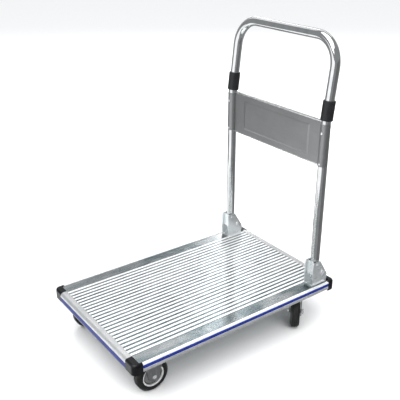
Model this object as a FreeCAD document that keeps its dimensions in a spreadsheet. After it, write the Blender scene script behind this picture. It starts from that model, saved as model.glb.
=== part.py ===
import FreeCAD, Part
import math
import os
from types import SimpleNamespace

import Sketcher
from FreeCAD import Placement, Rotation, Vector

# Folding platform cart: an aluminium deck on two rigid and two swivel casters, with a
# push handle that folds forward on to the deck.
# Frame: +X to the right, +Y towards the handle, +Z up, origin on the floor below the
# centre of the deck. All sizes are in millimetres and degrees.

DRIVING_DIMENSIONS = [
    # deck and its rails
    ("deck_length", 740), ("deck_width", 480), ("deck_top", 140),
    ("deck_sheet", 2), ("deck_corner_cut", 10), ("slip_gap", 0.2),
    ("rib_height", 1.4), ("rib_base", 9.6), ("rib_crest", 7.4), ("rib_pitch", 15.6), ("rib_count", 25),
    ("rail_drop", 25), ("rail_wall", 2), ("strip_recess", 3), ("rail_foot", 15), ("edge_round", 0.7),
    ("end_rail_depth", 21), ("end_flange", 1.6), ("end_web", 8), ("shoulder_round", 10),
    ("end_strip_top", 12), ("end_strip_bottom", 28.5), ("end_rail_drop", 31),
    ("groove_edge", 1.6), ("groove_width", 1.4), ("groove_depth", 0.8),
    ("side_rail_top", 8), ("side_strip_top", 4.5), ("side_strip_bottom", 15.5),
    ("strip_round", 1.8),
    # corner caps
    ("cap_length", 44), ("cap_reach", 29), ("cap_drop", 31.5), ("cap_rise", 2.2), ("cap_wall", 3),
    ("cap_corner", 16), ("cap_round", 7), ("cap_inner_cut", 12.5),
    # cross members below the deck
    ("member_half_web", 50), ("member_flange", 12), ("member_height", 12), ("member_wall", 2),
    ("member_middle_half_web", 26), ("member_end_gap", 16),
    # wheels and axles
    ("wheel_radius", 50), ("wheel_half_width", 15), ("tread_half_width", 8.5),
    ("tread_shoulder", 6.5), ("tyre_round", 4), ("tread_groove", 0.9), ("rim_radius", 33.5),
    ("rim_half_width", 13), ("disc_radius", 27), ("bead_rise", 1.5), ("side_rise", 6),
    ("hub_collar", 3.5), ("hub_foot", 5), ("dish_inner", 8), ("dish_outer", 3), ("dish_depth", 6.5),
    ("dish_slope", 1.8), ("dish_curve", 3.2), ("dish_edge", 5.5), ("bead_inner", 2.2),
    ("bead_crest", 2.8), ("bead_outer", 3.6), ("bush_radius", 7), ("axle_radius", 4),
    ("axle_clearance", 0.05), ("fork_side_gap", 2.2),
    # casters
    ("caster_inset", 54), ("swivel_inset", 64), ("front_axle_back", 83), ("swivel_back", 104),
    ("swivel_trail", 31), ("swivel_turn", 45), ("plate_thickness", 2.5), ("plate_half_width", 33.5),
    ("plate_half_length", 47.5), ("plate_cut", 6), ("crown_wall", 3.4),
    ("bolt_half_x", 25), ("bolt_half_y", 37.5), ("bolt_radius", 4), ("leg_thickness", 2.5),
    ("leg_end_radius", 14), ("leg_end_flat", 2.5), ("leg_top_half", 32), ("leg_top_straight", 10),
    ("fork_crown", 107.4), ("fork_skirt", 9), ("fork_clear", 12), ("fork_nose", 6),
    ("fork_nose_drop", 8), ("fork_back", 2),
    ("race_radius", 26), ("race_gap", 6.2), ("ball_radius", 2.8), ("ball_circle", 20),
    ("ball_count", 12), ("kingpin_radius", 5), ("kingpin_head", 9),
    ("kingpin_height", 3), ("kingpin_chamfer", 2), ("kingpin_gap", 0.3),
    # fasteners
    ("nut_corner", 7.5), ("nut_height", 6.5), ("thread_past_nut", 1.5), ("bolt_stem", 7),
    ("bolt_head", 7), ("bolt_head_height", 4), ("axle_head", 6.5), ("axle_head_height", 3.5),
    ("pivot_head_height", 3.6), ("detent_head", 3.4), ("detent_head_height", 1.8),
    ("foot_rivet_head", 3.6), ("foot_rivet_head_height", 1.2), ("panel_rivet_stem", 3.5),
    ("panel_rivet_head_height", 1.6),
    # handle
    ("leg_spacing", 420), ("leg_line", 302), ("tube_radius", 14), ("tube_wall", 1.5),
    ("leg_foot", 27), ("lean_start", 668), ("lean_angle", 6.5), ("lean_round", 80),
    ("joint_height", 30), ("bow_top", 229.5), ("bow_round", 80),
    ("sleeve_radius", 18), ("sleeve_start", 2), ("sleeve_end", 59), ("sleeve_chamfer", 1.2),
    ("plug_start", 6), ("plug_end", 54),
    # hinge brackets
    ("pivot_back", 19), ("pivot_height", 39.5), ("pivot_radius", 4), ("pivot_head", 7.2),
    ("clevis_wall", 1.8), ("fit_gap", 0.05), ("clevis_side_gap", 0.35), ("clevis_top", 80),
    ("clevis_bottom", 36), ("ear_wall", 2.2), ("ear_top", 82), ("ear_front", 23), ("ear_rear", 39),
    ("ear_round", 8), ("clevis_rivet_height", 62), ("clevis_rivet_radius", 2.5),
    ("ear_foot_cut", 2), ("ear_foot_height", 12), ("ear_head_cut", 6), ("ear_head_rear", 7),
    ("ear_slope", 10), ("ear_heel_height", 14), ("ear_heel_cut", 3), ("clevis_head_rear", 6),
    ("clevis_reach", 11), ("clevis_rise", 8), ("clevis_fall", 7), ("clevis_toe", 5),
    ("clevis_toe_fall", 12), ("clevis_heel", 6),
    ("detent_front", 7), ("detent_height", 73), ("stop_rear", 20), ("stop_height", 9),
    ("foot_rivet_across", 10), ("foot_rivet_front", 18), ("foot_rivet_rear", 31),
    # back panel
    ("panel_bottom", 529), ("panel_top", 665), ("panel_sheet", 1.2), ("panel_lip", 8),
    ("panel_tab_inset", 4.5), ("emboss_side", 62), ("emboss_edge", 20), ("emboss_depth", 1.6),
    ("emboss_slope", 5), ("panel_rivet_low", 541), ("panel_rivet_high", 634), ("rivet_radius", 2),
    ("rivet_head", 3.8),
]

doc = FreeCAD.newDocument("platform_cart")
sheet = doc.addObject("Spreadsheet::Sheet", "dims")
for row, (alias, value) in enumerate(DRIVING_DIMENSIONS, start=1):
    sheet.set(f"A{row}", alias)
    sheet.set(f"B{row}", str(value))
    sheet.setAlias(f"B{row}", alias)
doc.recompute()


class Size:
    """A size as a number and as the formula that gives it from the sheet."""

    def __init__(self, value, text):
        self.value = value
        self.text = text

    def __add__(self, other):
        other = as_size(other)
        return Size(self.value + other.value, f"({self.text} + {other.text})")

    def __sub__(self, other):
        other = as_size(other)
        return Size(self.value - other.value, f"({self.text} - {other.text})")

    def __mul__(self, other):
        other = as_size(other)
        return Size(self.value * other.value, f"({self.text} * {other.text})")

    def __truediv__(self, other):
        other = as_size(other)
        return Size(self.value / other.value, f"({self.text} / {other.text})")

    def __radd__(self, other):
        return as_size(other) + self

    def __rsub__(self, other):
        return as_size(other) - self

    def __rmul__(self, other):
        return as_size(other) * self

    def __neg__(self):
        return Size(-self.value, f"(0 - {self.text})")


def as_size(item):
    return item if isinstance(item, Size) else Size(float(item), f"({item!r})")


def sine(angle):
    return Size(math.sin(math.radians(angle.value)), f"sin({angle.text})")


def cosine(angle):
    return Size(math.cos(math.radians(angle.value)), f"cos({angle.text})")


def tangent(angle):
    return Size(math.tan(math.radians(angle.value)), f"tan({angle.text})")


dims = SimpleNamespace(**{
    alias: Size(float(getattr(sheet, alias)), f"dims.{alias}") for alias, _ in DRIVING_DIMENSIONS
})

nodes = {}


def keep(label, item):
    """Name a finished sub-part and list it for writing."""
    item.Label = label
    nodes[label] = item
    return item


def bind(item, prop, size):
    item.setExpression(prop, as_size(size).text)


def place(item, x=0, y=0, z=0, axis=None, angle=0):
    """Put an object in the cart's frame, its position bound to the sheet."""
    turn = Rotation(Vector(*axis), as_size(angle).value) if axis else Rotation()
    at = [as_size(coordinate) for coordinate in (x, y, z)]
    item.Placement = Placement(Vector(*[coordinate.value for coordinate in at]), turn)
    for letter, coordinate in zip("xyz", at):
        bind(item, f"Placement.Base.{letter}", coordinate)
    return item


def mirrored(label, source, normal):
    twin = doc.addObject("Part::Mirroring", label)
    twin.Source = source
    twin.Base = Vector(0, 0, 0)
    twin.Normal = Vector(*normal)
    return keep(label, twin)


# ---- sketches and features of a body -------------------------------------------------

def new_body(name):
    return doc.addObject("PartDesign::Body", name)


def new_sketch(body, plane):
    """An empty sketch on one of the body's own origin planes: XY, XZ or YZ."""
    support = [item for item in body.Origin.OriginFeatures if item.Role == plane + "_Plane"][0]
    sketch = body.newObject("Sketcher::SketchObject", body.Name + "_sketch")
    sketch.AttachmentSupport = (support, [""])
    sketch.MapMode = "FlatFace"
    return sketch


def hold(sketch, kind, *reference_and_size):
    """Add a dimension to a sketch and bind it to the sheet."""
    *reference, size = reference_and_size
    size = as_size(size)
    index = sketch.addConstraint(Sketcher.Constraint(kind, *reference, size.value))
    sketch.setExpression(f"Constraints[{index}]", size.text)


def hold_point(sketch, edge, end, x, y):
    origin_edge, origin_point = -1, 1
    hold(sketch, "DistanceX", origin_edge, origin_point, edge, end, x)
    hold(sketch, "DistanceY", origin_edge, origin_point, edge, end, y)


def draw_outline(sketch, corners):
    """A closed outline of straight edges through the given corners."""
    first = sketch.GeometryCount
    corners = [(as_size(x), as_size(y)) for x, y in corners]
    points = [Vector(x.value, y.value, 0) for x, y in corners]
    for start, end in zip(points, points[1:] + points[:1]):
        sketch.addGeometry(Part.LineSegment(start, end), False)
    for step, (x, y) in enumerate(corners):
        following = first + (step + 1) % len(corners)
        sketch.addConstraint(Sketcher.Constraint("Coincident", first + step, 2, following, 1))
        hold_point(sketch, first + step, 1, x, y)
    return sketch


def draw_circle(sketch, x, y, radius):
    x, y, radius = as_size(x), as_size(y), as_size(radius)
    circle = Part.Circle(Vector(x.value, y.value, 0), Vector(0, 0, 1), radius.value)
    index = sketch.addGeometry(circle, False)
    hold_point(sketch, index, 3, x, y)
    hold(sketch, "Radius", index, radius)
    return sketch


def draw_path(sketch, points, bend_centres):
    """A line of straight runs; bend_centres maps a run's number to its arc's centre."""
    points = [(as_size(x), as_size(y)) for x, y in points]
    spots = [Vector(x.value, y.value, 0) for x, y in points]
    arc_centre, first_end, last_end = 3, 1, 2
    origin_edge, origin_point = -1, 1
    for step, (start, end) in enumerate(zip(spots, spots[1:])):
        ends = (first_end, last_end)
        if step in bend_centres:
            x, y = [as_size(size) for size in bend_centres[step]]
            centre = Vector(x.value, y.value, 0)
            arc, is_backwards = counterclockwise_arc(centre, start, end)
            sketch.addGeometry(arc, False)
            hold(sketch, "DistanceX", origin_edge, origin_point, step, arc_centre, x)
            if is_backwards:
                ends = (last_end, first_end)
        else:
            sketch.addGeometry(Part.LineSegment(start, end), False)
        hold_point(sketch, step, ends[0], *points[step])
        hold_point(sketch, step, ends[1], *points[step + 1])
    return sketch


def counterclockwise_arc(centre, start, end):
    """The shorter arc between two points, and whether it runs from the end to the start."""
    is_backwards = (start - centre).cross(end - centre).z < 0
    if is_backwards:
        start, end = end, start
    first = math.atan2(start.y - centre.y, start.x - centre.x)
    last = math.atan2(end.y - centre.y, end.x - centre.x)
    circle = Part.Circle(centre, Vector(0, 0, 1), (start - centre).Length)
    if last < first:
        last += math.tau
    return Part.ArcOfCircle(circle, first, last), is_backwards


def pad(body, sketch, length, both_ways=True):
    feature = body.newObject("PartDesign::Pad", body.Name + "_pad")
    feature.Profile = sketch
    feature.SideType = "Symmetric" if both_ways else "One side"
    bind(feature, "Length", length)
    doc.recompute()
    return feature


def pocket(body, sketch, length=None, both_ways=True, reverse=False):
    """Cut a sketch out of the body, right through it when no length is given."""
    before = body.Shape.Volume
    feature = body.newObject("PartDesign::Pocket", body.Name + "_pocket")
    feature.Profile = sketch
    feature.SideType = "Symmetric" if both_ways else "One side"
    feature.Reversed = reverse
    if length is None:
        feature.Type = "ThroughAll"
    else:
        bind(feature, "Length", length)
    doc.recompute()
    if body.Shape.Volume >= before:
        raise RuntimeError("a pocket cuts nothing in " + body.Name)
    return feature


def drill(body, plane, holes, radius):
    sketch = new_sketch(body, plane)
    for x, y in holes:
        draw_circle(sketch, x, y, radius)
    return pocket(body, sketch)


def round_edges(body, radius, chosen):
    """Fillet the body's edges that the test picks."""
    doc.recompute()
    base = body.Tip
    names = [f"Edge{number}" for number, edge in enumerate(base.Shape.Edges, 1) if chosen(edge)]
    if not names:
        raise RuntimeError("no edge to round in " + body.Name)
    feature = body.newObject("PartDesign::Fillet", body.Name + "_round")
    feature.Base = (base, names)
    bind(feature, "Radius", radius)
    doc.recompute()
    return feature


def at(edge, **where):
    """Whether an edge's middle lies at the given coordinates."""
    middle = edge.CenterOfMass
    tolerance = 0.02
    return all(abs(getattr(middle, letter) - as_size(spot).value) < tolerance
               for letter, spot in where.items())


def extruded(name, plane, corners, length):
    body = new_body(name)
    pad(body, draw_outline(new_sketch(body, plane), corners), length)
    return body


def turned(name, outline):
    """A turned piece: outline points are (place along X, radius)."""
    body = new_body(name)
    sketch = draw_outline(new_sketch(body, "XZ"), outline)
    feature = body.newObject("PartDesign::Revolution", name + "_turn")
    feature.Profile = sketch
    feature.ReferenceAxis = (sketch, ["H_Axis"])
    feature.Angle = 360
    doc.recompute()
    return body


def swept_tube(name, plane, points, bend_centres, foot_plane):
    """A round tube along a path that starts square to foot_plane."""
    body = new_body(name)
    path = draw_path(new_sketch(body, plane), points, bend_centres)
    ring = new_sketch(body, foot_plane)
    start_x, start_height = points[0]
    ring.AttachmentOffset = Placement(Vector(0, 0, as_size(start_height).value), Rotation())
    bind(ring, "AttachmentOffset.Base.z", start_height)
    draw_circle(ring, start_x, 0, dims.tube_radius)
    draw_circle(ring, start_x, 0, dims.tube_radius - dims.tube_wall)
    doc.recompute()
    pipe = body.newObject("PartDesign::AdditivePipe", name + "_pipe")
    pipe.Profile = ring
    pipe.Spine = (path, [])
    doc.recompute()
    return body


def copies_of(pattern, spots):
    """A copy of a piece's shape at each placement."""
    doc.recompute()
    copies = []
    for spot in spots:
        copy = pattern.Shape.copy()
        copy.Placement = spot.multiply(copy.Placement)
        copies.append(copy)
    return copies


def grouped(label, shapes):
    """Small pieces of one kind as one sub-part of separate solids."""
    group = doc.addObject("Part::Feature", label)
    group.Shape = Part.makeCompound(shapes)
    return keep(label, group)


def scattered(label, pattern, spots):
    return grouped(label, copies_of(pattern, spots))


def hex_nut(name, circumradius, height, bore):
    """A hexagon nut on the X axis, from its seat at X = 0 outwards."""
    turns = [math.radians(60 * corner) for corner in range(6)]
    corners = [(circumradius * math.cos(turn), circumradius * math.sin(turn)) for turn in turns]
    body = new_body(name)
    sketch = draw_outline(new_sketch(body, "YZ"), corners)
    draw_circle(sketch, 0, 0, bore)
    pad(body, sketch, height, both_ways=False)
    return body


def domed_pin(name, radius, start, end, head_radius, head_height):
    """A pin along X with a domed head at its far end."""
    return turned(name, [
        (start, 0), (start, radius), (end, radius), (end, head_radius),
        (end + head_height * 0.45, head_radius * 0.96), (end + head_height * 0.82, head_radius * 0.72),
        (end + head_height, head_radius * 0.35), (end + head_height, 0)])


def two_headed_pin(name, radius, half_length, head_radius, head_height):
    """A pin along X with a domed head at both ends."""
    end = half_length
    half = [
        (end, radius), (end, head_radius), (end + head_height * 0.45, head_radius * 0.96),
        (end + head_height * 0.82, head_radius * 0.72), (end + head_height, head_radius * 0.35),
        (end + head_height, 0)]
    return turned(name, [(-x, y) for x, y in reversed(half)] + half)


# ---- deck, rails, strips and caps ------------------------------------------------------

def make_deck():
    half_width = dims.deck_width / 2 - dims.strip_recess - dims.rail_wall - dims.slip_gap
    half_length = dims.deck_length / 2 - dims.end_web - dims.slip_gap
    cut = dims.deck_corner_cut
    body = new_body("deck_panel")
    corners = [(half_width, cut - half_length), (half_width, half_length - cut),
               (half_width - cut, half_length), (cut - half_width, half_length),
               (-half_width, half_length - cut), (-half_width, cut - half_length),
               (cut - half_width, -half_length), (half_width - cut, -half_length)]
    pad(body, draw_outline(new_sketch(body, "XY"), corners), dims.deck_sheet, both_ways=False)
    first_rib = -dims.rib_pitch * (dims.rib_count - 1) / 2
    rib = draw_outline(new_sketch(body, "XZ"), [
        (first_rib - dims.rib_base / 2, dims.deck_sheet),
        (first_rib + dims.rib_base / 2, dims.deck_sheet),
        (first_rib + dims.rib_crest / 2, dims.deck_sheet + dims.rib_height),
        (first_rib - dims.rib_crest / 2, dims.deck_sheet + dims.rib_height)])
    rib_pad = pad(body, rib, (dims.deck_length / 2 - dims.end_rail_depth - dims.slip_gap) * 2)
    ribs = body.newObject("PartDesign::LinearPattern", "deck_ribs")
    ribs.Originals = [rib_pad]
    ribs.Direction = (rib, ["H_Axis"])
    bind(ribs, "Length", dims.rib_pitch * (dims.rib_count - 1))
    bind(ribs, "Occurrences", dims.rib_count)
    body.Tip = ribs
    doc.recompute()
    drill(body, "XY", [
        (dims.leg_spacing / 2 * side + across, dims.leg_line + along)
        for side in (-1, 1) for across, along in foot_rivet_spots()], dims.rivet_radius)
    place(body, z=dims.deck_top - dims.rib_height - dims.deck_sheet)
    keep("deck_panel", body)


def make_end_rails():
    """Extruded rails across the deck's ends, each with a slot for its bumper strip."""
    slot_floor = -(dims.rib_height + dims.deck_sheet)
    inner_wall = dims.strip_recess + dims.rail_wall
    length = dims.deck_width - dims.cap_length * 2
    drop = dims.end_rail_drop
    groove_inner = dims.end_rail_depth - dims.groove_edge
    groove_outer = groove_inner - dims.groove_width
    rail = extruded("end_rail_front", "YZ", [
        (dims.end_rail_depth, -dims.rib_height), (dims.end_rail_depth, dims.end_flange),
        (groove_inner, dims.end_flange), (groove_inner, dims.end_flange - dims.groove_depth),
        (groove_outer, dims.end_flange - dims.groove_depth), (groove_outer, dims.end_flange),
        (0, dims.end_flange),
        (0, -dims.end_strip_top), (dims.strip_recess, -dims.end_strip_top),
        (dims.strip_recess, -dims.end_strip_bottom), (0, -dims.end_strip_bottom),
        (0, -drop), (dims.rail_foot, -drop), (dims.rail_foot, dims.rail_wall - drop),
        (inner_wall, dims.rail_wall - drop),
        (inner_wall, slot_floor - dims.rail_wall), (dims.rail_foot, slot_floor - dims.rail_wall),
        (dims.rail_foot, slot_floor), (dims.end_web, slot_floor), (dims.end_web, -dims.rib_height)], length)
    round_edges(rail, dims.shoulder_round, lambda edge: at(edge, x=0, y=0, z=dims.end_flange))
    lip_heights = (-dims.end_strip_top, -dims.end_strip_bottom, -drop)
    round_edges(rail, dims.edge_round, lambda edge: any(
        at(edge, x=0, y=0, z=height) for height in lip_heights) or at(
        edge, x=0, y=dims.end_rail_depth, z=dims.end_flange))
    strip = extruded("bumper_strip_front", "YZ", [
        (0, -dims.end_strip_top), (dims.strip_recess, -dims.end_strip_top),
        (dims.strip_recess, -dims.end_strip_bottom), (0, -dims.end_strip_bottom)], length)
    round_edges(strip, dims.strip_round, lambda edge: at(edge, x=0, y=0))
    for piece, label in ((rail, "end_rail"), (strip, "bumper_strip")):
        place(piece, y=-dims.deck_length / 2, z=dims.deck_top)
        keep(label + "_front", piece)
        mirrored(label + "_rear", piece, (0, 1, 0))


def make_side_rails():
    """Extruded rails along the deck's sides; the deck slides into their inner slot."""
    deck_underside = -(dims.rib_height + dims.deck_sheet)
    inner_wall = -(dims.strip_recess + dims.rail_wall)
    length = dims.deck_length - dims.cap_reach * 2
    rail = extruded("side_rail_right", "XZ", [
        (-dims.side_rail_top, 0), (0, 0), (0, -dims.side_strip_top),
        (-dims.strip_recess, -dims.side_strip_top), (-dims.strip_recess, -dims.side_strip_bottom),
        (0, -dims.side_strip_bottom), (0, -dims.rail_drop), (-dims.rail_foot, -dims.rail_drop),
        (-dims.rail_foot, dims.rail_wall - dims.rail_drop), (inner_wall, dims.rail_wall - dims.rail_drop),
        (inner_wall, deck_underside - dims.rail_wall), (-dims.rail_foot, deck_underside - dims.rail_wall),
        (-dims.rail_foot, deck_underside), (inner_wall, deck_underside), (inner_wall, -dims.rib_height),
        (-dims.side_rail_top, -dims.rib_height)], length)
    lip_heights = (0, -dims.side_strip_top, -dims.side_strip_bottom, -dims.rail_drop)
    round_edges(rail, dims.edge_round, lambda edge: any(
        at(edge, x=0, y=0, z=height) for height in lip_heights))
    strip = extruded("bumper_strip_right", "XZ", [
        (0, -dims.side_strip_top), (-dims.strip_recess, -dims.side_strip_top),
        (-dims.strip_recess, -dims.side_strip_bottom), (0, -dims.side_strip_bottom)], length)
    round_edges(strip, dims.strip_round, lambda edge: at(edge, x=0, y=0))
    for piece, label in ((rail, "side_rail"), (strip, "bumper_strip")):
        place(piece, x=dims.deck_width / 2, z=dims.deck_top)
        keep(label + "_right", piece)
        mirrored(label + "_left", piece, (1, 0, 0))


def make_corner_caps():
    """Moulded caps that close the rails' ends and wrap the deck's corners."""
    cap = new_body("corner_cap_front_right")
    plan = draw_outline(new_sketch(cap, "XY"), [
        (-dims.cap_length, 0), (0, 0), (0, dims.cap_reach), (-dims.side_rail_top, dims.cap_reach),
        (-dims.side_rail_top, dims.end_rail_depth), (-dims.cap_length, dims.end_rail_depth)])
    plan.AttachmentOffset = Placement(Vector(0, 0, -dims.cap_drop.value), Rotation())
    bind(plan, "AttachmentOffset.Base.z", -dims.cap_drop)
    pad(cap, plan, dims.cap_drop + dims.cap_rise, both_ways=False)
    round_edges(cap, dims.cap_corner, lambda edge: at(edge, x=0, y=0))
    near_face, near_corner = 1, dims.cap_corner.value / 2

    def is_outer(edge, height):
        """Whether an edge at this height lies on the cap's outer faces or its rounded corner."""
        middle = edge.CenterOfMass
        on_corner = middle.x > -near_corner and middle.y < near_corner
        outside = middle.y < near_face or middle.x > -near_face or on_corner
        return abs(middle.z - height.value) < 0.01 and outside

    round_edges(cap, dims.cap_round, lambda edge: is_outer(edge, dims.cap_rise))
    round_edges(cap, dims.cap_wall / 2, lambda edge: is_outer(edge, -dims.cap_drop))
    wall = dims.cap_wall
    cut = dims.cap_inner_cut
    beyond = dims.cap_length + wall
    hollow = draw_outline(new_sketch(cap, "XY"), [
        (-beyond, wall), (-wall - cut, wall), (-wall, wall + cut), (-wall, beyond), (-beyond, beyond)])
    pocket(cap, hollow, dims.cap_drop + wall, both_ways=False)
    place(cap, x=dims.deck_width / 2, y=-dims.deck_length / 2, z=dims.deck_top)
    keep("corner_cap_front_right", cap)
    front_left = mirrored("corner_cap_front_left", cap, (1, 0, 0))
    mirrored("corner_cap_rear_right", cap, (0, 1, 0))
    mirrored("corner_cap_rear_left", front_left, (0, 1, 0))


def make_cross_members():
    """Folded top-hat members between the side rails; the casters bolt to the outer two."""
    front_y = dims.front_axle_back - dims.deck_length / 2
    rear_y = dims.deck_length / 2 - dims.swivel_back
    underside = dims.deck_top - dims.rib_height - dims.deck_sheet
    half_width = dims.deck_width / 2
    for label, half_web, y, caster_x in (
            ("cross_member_front", dims.member_half_web, front_y, half_width - dims.caster_inset),
            ("cross_member_middle", dims.member_middle_half_web, as_size(0), None),
            ("cross_member_rear", dims.member_half_web, rear_y, half_width - dims.swivel_inset)):
        wall, high, flange = dims.member_wall, dims.member_height, dims.member_flange
        right_half = [(half_web, -high), (half_web, -wall), (half_web + flange, -wall),
                      (half_web + flange, as_size(0)), (half_web - wall, as_size(0)),
                      (half_web - wall, wall - high)]
        left_half = [(-across, up) for across, up in reversed(right_half)]
        member = extruded(label, "YZ", right_half + left_half,
                          dims.deck_width - dims.member_end_gap * 2)
        if caster_x:
            drill(member, "XY", [(side * caster_x + across, along)
                                 for side in (-1, 1) for across, along in plate_holes()],
                  dims.bolt_radius)
        place(member, y=y, z=underside)
        keep(label, member)


# ---- wheels and casters ------------------------------------------------------------------

def both_sides(right_half):
    """A turned outline that is the same on both sides of X = 0."""
    return right_half + [(-along, radius) for along, radius in reversed(right_half)]


def make_wheel(prefix, x, y, angle):
    """Tyre, hub and bush; the axle runs along X before the wheel is turned."""
    width, rim, disc = dims.wheel_half_width, dims.rim_half_width, dims.disc_radius
    groove_out, groove_in = dims.tread_half_width / 2 + 1, dims.tread_half_width / 2 - 1
    tread = dims.wheel_radius
    tyre = turned(prefix + "_tyre", both_sides([
        (rim + 0.6, dims.rim_radius), (width - 0.4, dims.rim_radius + dims.bead_rise),
        (width, dims.rim_radius + dims.side_rise),
        (width - 0.6, tread - dims.tread_shoulder), (dims.tread_half_width, tread), (groove_out, tread),
        (groove_out - 0.4, tread - dims.tread_groove), (groove_in + 0.4, tread - dims.tread_groove),
        (groove_in, tread)]))
    shoulder = (tread - dims.tread_shoulder).value
    round_edges(tyre, dims.tyre_round, lambda edge: hasattr(edge.Curve, "Radius") and (
        abs(edge.Curve.Radius - shoulder) < 0.01 or (
            abs(edge.Curve.Radius - tread.value) < 0.01
            and abs(abs(edge.CenterOfMass.x) - dims.tread_half_width.value) < 0.01)))
    hub = turned(prefix + "_hub", both_sides([
        (rim + 0.5, dims.bush_radius), (rim + 0.5, dims.bush_radius + dims.hub_collar),
        (rim - 1, dims.bush_radius + dims.hub_foot), (rim - dims.dish_slope, disc - dims.dish_inner),
        (rim - dims.dish_curve, disc - dims.dish_outer), (rim - dims.dish_edge, disc),
        (rim - dims.dish_depth, disc), (rim - dims.dish_depth, disc + dims.bead_inner),
        (rim - 0.6, disc + dims.bead_crest), (rim, disc + dims.bead_outer), (rim, dims.rim_radius)]))
    bush_end = width + dims.fork_side_gap - 0.3
    bush = turned(prefix + "_bush", [
        (-bush_end, dims.axle_radius + dims.axle_clearance),
        (bush_end, dims.axle_radius + dims.axle_clearance),
        (bush_end, dims.bush_radius), (-bush_end, dims.bush_radius)])
    for piece in (tyre, hub, bush):
        place(piece, x, y, dims.wheel_radius, (0, 0, 1), angle)
        keep(piece.Name, piece)


def plate_holes():
    return [(across * dims.bolt_half_x, along * dims.bolt_half_y) for across in (-1, 1) for along in (-1, 1)]


def plate_outline():
    wide, long, cut = dims.plate_half_width, dims.plate_half_length, dims.plate_cut
    return [(wide, cut - long), (wide, long - cut), (wide - cut, long), (cut - wide, long),
            (-wide, long - cut), (-wide, cut - long), (cut - wide, -long), (wide - cut, -long)]


def plate_top():
    return dims.deck_top - dims.rib_height - dims.deck_sheet - dims.member_height


def raised_sketch(body, height):
    sketch = new_sketch(body, "XY")
    sketch.AttachmentOffset = Placement(Vector(0, 0, as_size(height).value), Rotation())
    bind(sketch, "AttachmentOffset.Base.z", height)
    return sketch


def make_fork_legs(name, side_outline):
    """Two fork legs and the crown that joins them, rounded about the axle."""
    gap = dims.wheel_half_width + dims.fork_side_gap
    fork = extruded(name, "YZ", side_outline, (gap + dims.leg_thickness) * 2)
    bottom = dims.wheel_radius - dims.leg_end_radius
    round_edges(fork, dims.leg_end_radius - dims.leg_end_flat, lambda edge: at(edge, x=0, z=bottom) and (
        edge.Length > gap.value))
    return fork, gap


def make_rigid_casters():
    below_plate = plate_top() - dims.plate_thickness
    straight_end = below_plate - dims.leg_top_straight
    bottom = dims.wheel_radius - dims.leg_end_radius
    for side, name in ((-1, "left"), (1, "right")):
        fork, gap = make_fork_legs("rigid_fork_" + name, [
            (-dims.leg_top_half, below_plate + 1), (-dims.leg_top_half, straight_end),
            (-dims.leg_end_radius, bottom), (dims.leg_end_radius, bottom),
            (dims.leg_top_half, straight_end), (dims.leg_top_half, below_plate + 1)])
        space = draw_outline(new_sketch(fork, "YZ"), [
            (-dims.wheel_radius, 0), (dims.wheel_radius, 0),
            (dims.wheel_radius, below_plate), (-dims.wheel_radius, below_plate)])
        pocket(fork, space, gap * 2)
        drill(fork, "YZ", [(as_size(0), dims.wheel_radius)], dims.axle_radius)
        plate = draw_outline(raised_sketch(fork, below_plate), plate_outline())
        pad(fork, plate, dims.plate_thickness, both_ways=False)
        drill(fork, "XY", plate_holes(), dims.bolt_radius)
        x = side * (dims.deck_width / 2 - dims.caster_inset)
        y = dims.front_axle_back - dims.deck_length / 2
        place(fork, x, y)
        keep("rigid_fork_" + name, fork)
        make_wheel("front_" + name, x, y, 0)


def make_swivel_casters():
    crown_top = dims.fork_crown
    crown_wall = dims.crown_wall
    bottom = dims.wheel_radius - dims.leg_end_radius
    trail, end = dims.swivel_trail, dims.leg_end_radius
    turn = dims.swivel_turn
    for side, name in ((-1, "left"), (1, "right")):
        fork, gap = make_fork_legs("swivel_fork_" + name, [
            (dims.race_radius, crown_top), (dims.race_radius, crown_top - dims.fork_skirt),
            (end - trail, bottom), (-trail - end, bottom),
            (-trail - end - 1, dims.wheel_radius + dims.fork_clear),
            (-trail - end + dims.fork_nose, crown_top - dims.fork_nose_drop),
            (-trail - dims.fork_back, crown_top)])
        space = draw_outline(new_sketch(fork, "YZ"), [
            (-dims.wheel_radius * 2, 0), (dims.wheel_radius, 0),
            (dims.wheel_radius, crown_top - crown_wall), (-dims.wheel_radius * 2, crown_top - crown_wall)])
        pocket(fork, space, gap * 2)
        drill(fork, "YZ", [(-trail, dims.wheel_radius)], dims.axle_radius)
        crown = draw_circle(raised_sketch(fork, crown_top - crown_wall), 0, 0, dims.race_radius)
        pad(fork, crown, crown_wall, both_ways=False)
        drill(fork, "XY", [(0, 0)], dims.kingpin_radius + dims.axle_clearance)
        x = side * (dims.deck_width / 2 - dims.swivel_inset)
        y = dims.deck_length / 2 - dims.swivel_back
        place(fork, x, y, 0, (0, 0, 1), turn)
        keep("swivel_fork_" + name, fork)

        race = new_body("swivel_plate_" + name)
        boss = draw_circle(raised_sketch(race, crown_top + dims.race_gap), 0, 0, dims.race_radius)
        pad(race, boss, plate_top() - crown_top - dims.race_gap, both_ways=False)
        plate = draw_outline(raised_sketch(race, plate_top() - dims.plate_thickness), plate_outline())
        pad(race, plate, dims.plate_thickness, both_ways=False)
        drill(race, "XY", plate_holes(), dims.bolt_radius)
        drill(race, "XY", [(0, 0)], dims.kingpin_radius)
        place(race, x, y)
        keep("swivel_plate_" + name, race)
        make_wheel("rear_" + name, x + trail * sine(turn), y - trail * cosine(turn), turn)


def caster_spots():
    """The four casters' plate centres, front pair first."""
    edge = dims.deck_width.value / 2
    front = dims.front_axle_back.value - dims.deck_length.value / 2
    rear = dims.deck_length.value / 2 - dims.swivel_back.value
    pairs = ((edge - dims.caster_inset.value, front), (edge - dims.swivel_inset.value, rear))
    return [(side * x, y) for x, y in pairs for side in (-1, 1)]


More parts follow.
